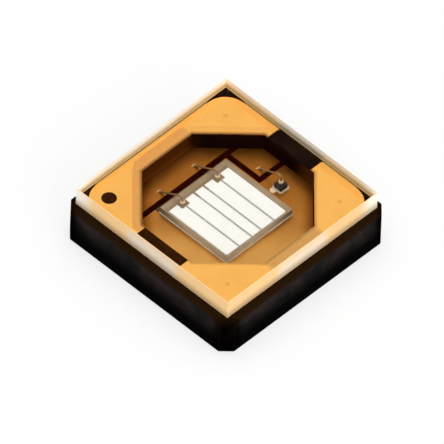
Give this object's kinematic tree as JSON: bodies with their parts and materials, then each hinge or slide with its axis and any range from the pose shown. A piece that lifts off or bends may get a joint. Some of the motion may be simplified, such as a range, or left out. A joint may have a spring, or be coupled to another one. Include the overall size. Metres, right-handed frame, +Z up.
{
  "type": "ultraviolet led",
  "caption": "Surface-mount ultraviolet LED: square black ceramic package with a gold-rimmed octagonal cavity, wire-bonded chip and protection diode under a flat clear window.",
  "frame": {"origin": "middle of the underside, on the plane of the solder pads", "axes": "+Z up through the window, +X from the cathode side to the anode side, the marked corner at -X -Y"},
  "size_m": [0.0036, 0.0036, 0.001],
  "materials": {
    "black_ceramic": "fine matte fired ceramic",
    "rim_gold": "satin gold plating",
    "floor_gold": "satin gold plating",
    "window_glass": "polished faces, ground edges",
    "clear_seal": "clear",
    "chip_carrier": "sawn",
    "emitter": "finely roughened, bright",
    "contact_metal": "satin",
    "diode_silicon": "polished",
    "bond_metal": "dull",
    "wire_gold": "bright drawn",
    "solder_gold": "satin gold plating",
    "post_metal": "fired metal paste"
  },
  "bodies": {
    "root": {"ceramic_body": "black_ceramic", "cathode_rim_metal": "rim_gold", "anode_rim_metal": "rim_gold", "window_seal": "clear_seal", "glass_window": "window_glass", "wire_pad": "floor_gold", "die_pad": "floor_gold", "diode_pad": "floor_gold", "chip_bond": "bond_metal", "led_chip": "chip_carrier", "light_layer": "emitter", "chip_contact": "contact_metal", "front_bond_wire": "wire_gold", "rear_bond_wire": "wire_gold", "diode_bond": "bond_metal", "protection_diode": "diode_silicon", "diode_top_pad": "contact_metal", "diode_wire": "wire_gold", "cathode_solder_pad": "solder_gold", "thermal_solder_pad": "solder_gold", "anode_solder_pad": "solder_gold", "cathode_posts": "post_metal", "anode_posts": "post_metal"}
  },
  "joints": []
}
